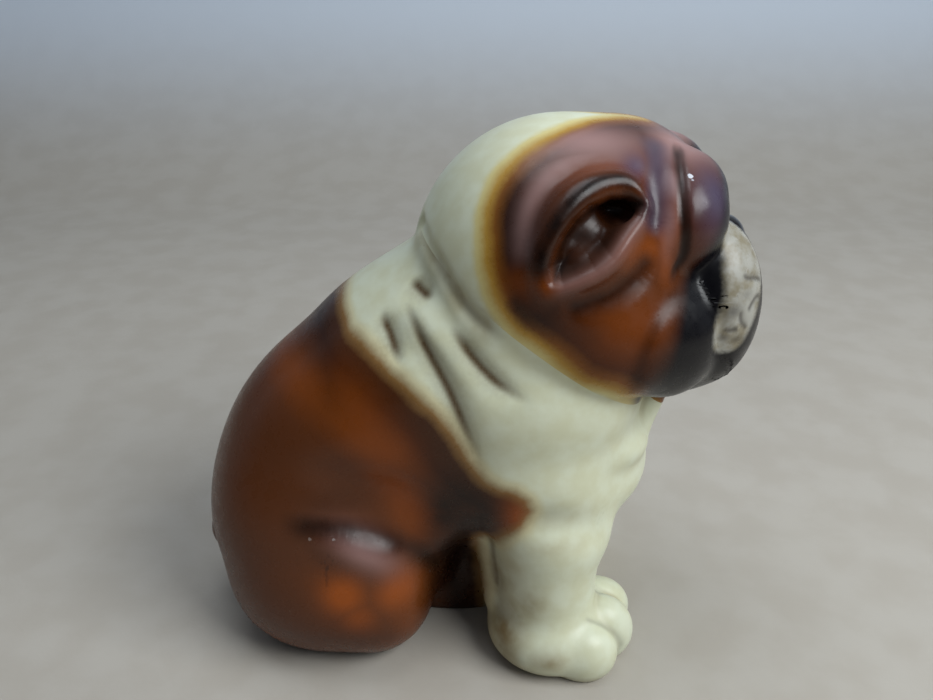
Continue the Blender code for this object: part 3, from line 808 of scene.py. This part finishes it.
def lifted(P, by):
    p = np.stack(P, 1)
    g = gradient(skin, P, 0.15)
    return [P[i] + F(by) * g[i] for i in range(3)]


# ---------------------------------------------------------------- glaze and paint as node trees
def rgb(r, g, b):
    """sRGB steps as a linear colour."""
    return tuple((c / 255 / 12.92 if c <= 10 else ((c / 255 + 0.055) / 1.055) ** 2.4) for c in (r, g, b)) + (1.0,)


class Tree:
    """Short hand for building a material's nodes."""

    def __init__(self, name):
        self.mat = bpy.data.materials.new(name)
        self.mat.use_nodes = True
        self.nodes, self.links = self.mat.node_tree.nodes, self.mat.node_tree.links
        self.nodes.clear()
        out = self.nodes.new("ShaderNodeOutputMaterial")
        self.shader = self.nodes.new("ShaderNodeBsdfPrincipled")
        self.links.new(self.shader.outputs[0], out.inputs[0])
        self.where = self.nodes.new("ShaderNodeTexCoord").outputs["Object"]

    def put(self, socket, value):
        if isinstance(value, bpy.types.NodeSocket):
            self.links.new(value, socket)
        else:
            socket.default_value = value

    def mask(self, key):
        node = self.nodes.new("ShaderNodeAttribute")
        node.attribute_name = key
        return node.outputs["Fac"]

    def noise(self, scale, detail=3.0, rough=0.5, distortion=0.0, where=None):
        node = self.nodes.new("ShaderNodeTexNoise")
        self.put(node.inputs["Vector"], where or self.where)
        node.inputs["Scale"].default_value = scale
        node.inputs["Detail"].default_value = detail
        node.inputs["Roughness"].default_value = rough
        node.inputs["Distortion"].default_value = distortion
        return node.outputs["Fac"]

    def math(self, kind, a, b=0.0, c=0.0, clamp=False):
        node = self.nodes.new("ShaderNodeMath")
        node.operation, node.use_clamp = kind, clamp
        for socket, value in zip(node.inputs, (a, b, c)):
            self.put(socket, value)
        return node.outputs[0]

    def add(self, a, b):
        return self.math("ADD", a, b)

    def mul(self, a, b, clamp=False):
        return self.math("MULTIPLY", a, b, clamp=clamp)

    def span(self, value, lo, hi, to_lo=0.0, to_hi=1.0, smooth=True):
        node = self.nodes.new("ShaderNodeMapRange")
        node.interpolation_type = "SMOOTHSTEP" if smooth else "LINEAR"
        for key, v in (("Value", value), ("From Min", lo), ("From Max", hi), ("To Min", to_lo), ("To Max", to_hi)):
            self.put(node.inputs[key], v)
        return node.outputs[0]

    def mix(self, fac, a, b, kind="MIX"):
        node = self.nodes.new("ShaderNodeMix")
        node.data_type, node.blend_type = "RGBA", kind
        self.put(node.inputs[0], fac)
        self.put(node.inputs[6], a)
        self.put(node.inputs[7], b)
        return node.outputs[2]

    def ramp(self, fac, stops, smooth=True):
        node = self.nodes.new("ShaderNodeValToRGB")
        node.color_ramp.interpolation = "EASE" if smooth else "LINEAR"
        marks = node.color_ramp.elements
        while len(marks) < len(stops):
            marks.new(0.5)
        for mark, (at, colour) in zip(marks, stops):
            mark.position = at
            mark.color = colour
        self.put(node.inputs[0], fac)
        return node.outputs[0]

    def bump(self, height, distance, strength=1.0, under=None):
        node = self.nodes.new("ShaderNodeBump")
        node.inputs["Strength"].default_value = strength
        node.inputs["Distance"].default_value = distance
        self.put(node.inputs["Height"], height)
        if under is not None:
            self.put(node.inputs["Normal"], under)
        return node.outputs[0]

    def near(self, at, radius, jitter=0.0):
        """1 within the radius (mm) of a place on the sculpt, 0 beyond it."""
        node = self.nodes.new("ShaderNodeVectorMath")
        node.operation = "DISTANCE"
        self.put(node.inputs[0], self.where)
        node.inputs[1].default_value = ((at[0] + SHIFT) * 0.001, at[1] * 0.001, at[2] * 0.001)
        d = node.outputs["Value"]
        if jitter:
            d = self.add(d, self.mul(self.add(self.noise(900, 2), -0.5), jitter * 0.001))
        return self.span(d, radius * 0.0012, radius * 0.0007)


CREAM = rgb(222, 222, 196)
OCHRE = rgb(150, 118, 42)
UMBER = rgb(88, 50, 18)
DARK = rgb(48, 26, 17)
BROWN = rgb(96, 56, 34)
RUST = rgb(132, 66, 24)
BLACK = rgb(20, 18, 20)


def glaze():
    t = Tree("glaze")
    slow, mid, fine = t.noise(55, 2), t.noise(190, 3), t.noise(1300, 2)
    wobble = t.add(t.mul(t.add(slow, -0.5), 3.0), t.mul(t.add(mid, -0.5), 1.2))
    grain = t.mul(t.add(fine, -0.5), 0.5)
    coat = t.add(t.add(t.mask("coat"), wobble), grain)
    cream = t.mix(t.span(mid, 0.3, 0.7), rgb(213, 217, 193), rgb(205, 206, 176))
    # head: cream, ochre halo, umber, dark ring, reddish brown
    on_face = t.ramp(t.span(coat, -5, 20, smooth=False), [(0.0, rgb(208, 210, 178)), (0.11, rgb(204, 190, 130)), (0.19, rgb(172, 134, 58)), (0.27, rgb(118, 72, 24)),
                                                          (0.37, rgb(46, 20, 7)), (0.52, rgb(48, 21, 6)), (0.70, rgb(80, 38, 11)), (1.0, rgb(70, 33, 7))], smooth=False)
    # body: the boundary goes straight from smoky brown to cream
    on_back = t.ramp(t.span(coat, -5, 20, smooth=False), [(0.0, rgb(209, 211, 182)), (0.10, rgb(202, 196, 160)), (0.19, rgb(128, 96, 56)), (0.27, rgb(60, 34, 18)),
                                                          (0.42, rgb(43, 20, 8)), (0.60, rgb(80, 40, 13)), (0.78, rgb(108, 55, 19)), (1.0, rgb(90, 49, 25))], smooth=False)
    colour = t.mix(t.mask("on_head"), on_back, on_face)
    colour = t.mix(t.span(coat, -4.5, -2.5), cream, colour)
    in_coat = t.span(coat, -0.5, 3)
    warm = t.mul(t.mul(t.mask("warm"), t.span(slow, 0.25, 0.75, 0.7, 1.15)), t.span(coat, -2.0, 2.0), clamp=True)
    colour = t.mix(warm, colour, rgb(146, 72, 20))
    # painted pinkish sheen on upward-facing parts
    colour = t.mix(t.mul(t.mask("painted_sheen"), in_coat), colour, rgb(160, 126, 122))
    # painted bluish sheen
    colour = t.mix(t.mul(t.mul(t.mask("blue_sheen"), in_coat), 0.68), colour, rgb(72, 72, 98))
    # dark paint, and painted shade in creases and hollows
    dark = t.mul(t.mul(t.mask("dark"), t.span(mid, 0.2, 0.8, 0.85, 1.1)), in_coat, clamp=True)
    colour = t.mix(dark, colour, rgb(20, 8, 4))
    # painted shade in the hollows: yellowish on the cream, near black in the brown
    hollow = t.mask("hollow")
    hollow_shade = t.span(hollow, 0.04, 0.6)
    on_cream = t.span(coat, 0, -3)
    colour = t.mix(t.mul(t.mul(hollow_shade, on_cream), 0.65), colour, rgb(128, 106, 52))
    colour = t.mix(t.mul(t.mul(hollow_shade, in_coat), 0.7), colour, rgb(24, 12, 8))
    # ochre airbrush and painted shade, on the cream only
    ochre_and_shade = t.mul(t.mask("ochre_and_shade"), t.span(mid, 0.3, 0.7, 0.7, 1.1), clamp=True)
    colour = t.mix(t.mul(ochre_and_shade, on_cream), colour, rgb(122, 98, 58))
    # brown painted shade in the folds
    colour = t.mix(t.mul(t.span(t.add(t.mask("crease_shade"), t.mul(grain, 0.25)), 0.12, 0.95, smooth=False), t.span(coat, 4, 0)), colour, rgb(78, 52, 20))
    jowl = t.add(t.mask("jowl"), t.mul(wobble, 0.5))
    # the black jowl: near black, turning bluish where the painted bluish sheen lies
    colour = t.mix(t.span(jowl, -2.5, 2.0), colour, t.mix(t.mask("blue_sheen"), rgb(7, 6, 10), rgb(40, 36, 50)))
    flew = t.add(t.add(t.mask("flew"), t.mul(wobble, 0.22)), grain)
    lip = t.mix(t.span(t.noise(240, 3, 0.6), 0.38, 0.68), rgb(162, 160, 151), rgb(132, 124, 104))
    # smudges and the painted wrinkle shade on the lips
    lip = t.mix(t.mul(t.mask("smudge_and_crease_shade"), 0.9, clamp=True), lip, rgb(58, 52, 46))
    colour = t.mix(t.span(flew, -0.7, 0.9), colour, lip)
    # smudges and painted toe shade on the cream
    colour = t.mix(t.mul(t.mask("smudge_and_crease_shade"), on_cream), colour, rgb(96, 92, 82))
    # pin specks fired into the glaze
    pits = t.nodes.new("ShaderNodeTexVoronoi")
    t.put(pits.inputs["Vector"], t.where)
    pits.inputs["Scale"].default_value = 260
    speck = t.mul(t.span(pits.outputs["Distance"], 0.055, 0.03), t.span(t.noise(60, 1), 0.60, 0.66))
    colour = t.mix(t.mul(speck, 0.55), colour, rgb(70, 60, 46))
    for at, size, tone in (((39.4, -16.8, 107.2), 0.4, (204, 206, 212)), ((39.7, -17.4, 106.3), 0.35, (180, 182, 190)), ((-31.5, -27.3, 35.9), 0.22, (118, 102, 94)),
                           ((-26.7, -27.3, 35.7), 0.25, (128, 116, 112)), ((-25.2, -27.2, 36.9), 0.2, (128, 116, 112)), ((-36.7, -29.5, 19.0), 0.3, (140, 120, 104))):
        colour = t.mix(t.near(at, size, 1.3), colour, rgb(*tone))
    t.put(t.shader.inputs["Base Color"], colour)
    rough = t.add(t.span(t.noise(420, 3), 0.3, 0.7, 0.24, 0.34), t.mul(on_cream, 0.06))
    rough = t.add(rough, t.add(t.mul(t.mask("painted_sheen"), 0.14), t.mul(t.span(hollow, 0.15, 0.6), 0.22)))
    t.put(t.shader.inputs["Roughness"], rough)
    t.shader.inputs["IOR"].default_value = 1.35
    height = t.add(t.mul(t.noise(700, 2), 0.4), t.mul(t.noise(210, 1), 1.2))
    t.put(t.shader.inputs["Normal"], t.bump(height, 0.00012, 0.35))
    return t.mat


def gloss(name, base, spots):
    t = Tree(name)
    colour = t.mix(t.span(t.noise(600, 3), 0.3, 0.7), base, spots)
    t.put(t.shader.inputs["Base Color"], colour)
    t.put(t.shader.inputs["Roughness"], t.span(t.noise(800, 2), 0.3, 0.7, 0.10, 0.18))
    t.put(t.shader.inputs["Normal"], t.bump(t.noise(900, 2), 0.00005, 0.3))
    return t.mat


# ---------------------------------------------------------------- the castings
skin = full
GLAZE = glaze()


def keep(obj, node):
    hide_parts(node)
    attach(obj, "root")


for name, slot, seams, lo, hi, step in PIECES:
    v, q, normals, cut = casting(skin, seams, lo, hi, FINE * step)
    masks = paint(tuple(np.ascontiguousarray(v[:, i]) for i in range(3)), head=v[:, 2].mean() > 60 and name != "torso_shell")
    obj = mesh_object(name + "_cast", v, q, normals, cut, masks)
    obj.data.materials.append(GLAZE)
    keep(obj, name)


def nose_form(P):
    A = mirrored(P)
    d = ell(P, (52.0, 0, 90.6), (3.9, 5.8, 4.4))
    d = smin(d, ell(A, (53.0, 3.9, 89.8), (3.2, 2.9, 3.1)), 1.5)
    d = smax(d, -ell(A, (56.4, 3.0, 89.9), (2.4, 1.1, 1.3), (30, 0, 0)), 0.5)
    d = groove(d, P, spline([(57.6, 0, 92.6), (56.4, 0, 89.2), (54.8, 0, 86)], 3), 0.5, 0.5, (0, 0))
    return d


def eye_form(s):
    def form(P):
        d = ell(P, (44.6, 13.4 * s, 92.9), (2.9, 2.9, 2.9))
        return smin(d, ell(P, (45.6, 13.9 * s, 92.8), (2.2, 2.2, 2.2)), 0.6)
    return form


NOSE = gloss("nose_glaze", rgb(16, 14, 16), rgb(34, 30, 32))
EYE = gloss("eye_glaze", rgb(20, 11, 7), rgb(46, 26, 14))
v, q, normals, cut = casting(nose_form, None, (46, -8, 84), (60, 8, 97), FINE * 0.7)
obj = mesh_object("nose_cast", v, q, normals, cut, {})
obj.data.materials.append(NOSE)
keep(obj, "nose")
for word, s in (("right", -1), ("left", 1)):
    v, q, normals, cut = casting(eye_form(s), None, (41, 14 * s - 4, 89), (51, 14 * s + 4, 98), FINE * 0.6)
    obj = mesh_object("eye_" + word + "_cast", v, q, normals, cut, {})
    obj.data.materials.append(EYE)
    keep(obj, "eye_" + word)


# ---------------------------------------------------------------- floor, light and camera
def stage():
    t = Tree("paper_sweep")
    speck = t.noise(60, 4)
    split = t.nodes.new("ShaderNodeSeparateXYZ")
    t.put(split.inputs[0], t.where)
    paper = t.mix(t.span(speck, 0.35, 0.65), rgb(170, 163, 152), rgb(175, 169, 159))
    t.put(t.shader.inputs["Base Color"], t.mix(t.span(split.outputs[2], 0.0, 0.12), paper, rgb(206, 216, 228)))
    t.put(t.shader.inputs["Roughness"], t.span(speck, 0.3, 0.7, 0.75, 0.85))
    t.put(t.shader.inputs["Normal"], t.bump(t.noise(900, 3), 0.0002, 0.2))
    profile = [(-0.9, 0.0)] + [(0.30 + 0.25 * math.sin(a), 0.25 - 0.25 * math.cos(a)) for a in np.linspace(0, math.pi / 2, 14)] + [(0.55, 1.1)]
    mesh = bpy.data.meshes.new("sweep")
    bm = bmesh.new()
    rows = [[bm.verts.new((x, y, z)) for y, z in profile] for x in (-1.6, 1.6)]
    for i in range(len(profile) - 1):
        face = bm.faces.new((rows[0][i], rows[1][i], rows[1][i + 1], rows[0][i + 1]))
        face.smooth = True
    bm.to_mesh(mesh)
    bm.free()
    obj = bpy.data.objects.new("sweep", mesh)
    obj.data.materials.append(t.mat)
    bpy.context.scene.collection.objects.link(obj)


def lamp(name, at, aim, size, power, colour):
    data = bpy.data.lights.new(name, "AREA")
    data.shape, data.size, data.size_y = "RECTANGLE", size[0], size[1]
    data.energy, data.color = power, colour
    obj = bpy.data.objects.new(name, data)
    obj.location = at
    obj.rotation_euler = (Vector(aim) - Vector(at)).to_track_quat("-Z", "Y").to_euler()
    bpy.context.scene.collection.objects.link(obj)


def room():
    """Pale walls and ceiling over and behind the piece, and a dim room on the viewer's side, which the glaze mirrors."""
    world = bpy.data.worlds.new("room")
    world.use_nodes = True
    nodes, links = world.node_tree.nodes, world.node_tree.links
    way = nodes.new("ShaderNodeTexCoord").outputs["Generated"]
    split = nodes.new("ShaderNodeSeparateXYZ")
    links.new(way, split.inputs[0])

    def span(value, lo, hi, to_hi):
        node = nodes.new("ShaderNodeMapRange")
        node.interpolation_type = "SMOOTHSTEP"
        links.new(value, node.inputs["Value"])
        node.inputs["From Min"].default_value, node.inputs["From Max"].default_value = lo, hi
        node.inputs["To Max"].default_value = to_hi
        return node.outputs[0]

    def add(a, b):
        node = nodes.new("ShaderNodeMath")
        links.new(a, node.inputs[0])
        links.new(b, node.inputs[1])
        return node.outputs[0]

    level = add(add(span(split.outputs[1], -0.30, 0.7, 0.50), span(split.outputs[2], 0.1, 0.9, 0.20)), span(split.outputs[0], 0.0, 1.0, 0.12))
    base = nodes.new("ShaderNodeMath")
    base.operation = "ADD"
    links.new(level, base.inputs[0])
    base.inputs[1].default_value = 0.03
    back = nodes["Background"]
    back.inputs[0].default_value = (0.80, 0.88, 1.0, 1)
    links.new(base.outputs[0], back.inputs[1])
    bpy.context.scene.world = world


stage()
room()
lamp("window", (0.42, -0.26, 0.50), (0, 0, 0.05), (0.42, 0.34), 4.15, (0.94, 0.98, 1.0))
lamp("skylight", (-0.04, 0.02, 0.66), (0, 0, 0.05), (0.34, 0.34), 1.3, (0.88, 0.94, 1.0))
bpy.context.scene.view_settings.view_transform = "Standard"

camera = bpy.data.cameras.new("camera")
camera.sensor_fit, camera.sensor_width = "HORIZONTAL", 36.0
camera.lens = 850 / 933 * 36
camera.clip_start = 0.01
eye = bpy.data.objects.new("camera", camera)
eye.location = (SHIFT * 0.001, -0.16445, 0.1452)
eye.rotation_euler = (math.radians(64), 0, 0)
bpy.context.scene.collection.objects.link(eye)
bpy.context.scene.camera = eye

bpy.context.view_layer.update()
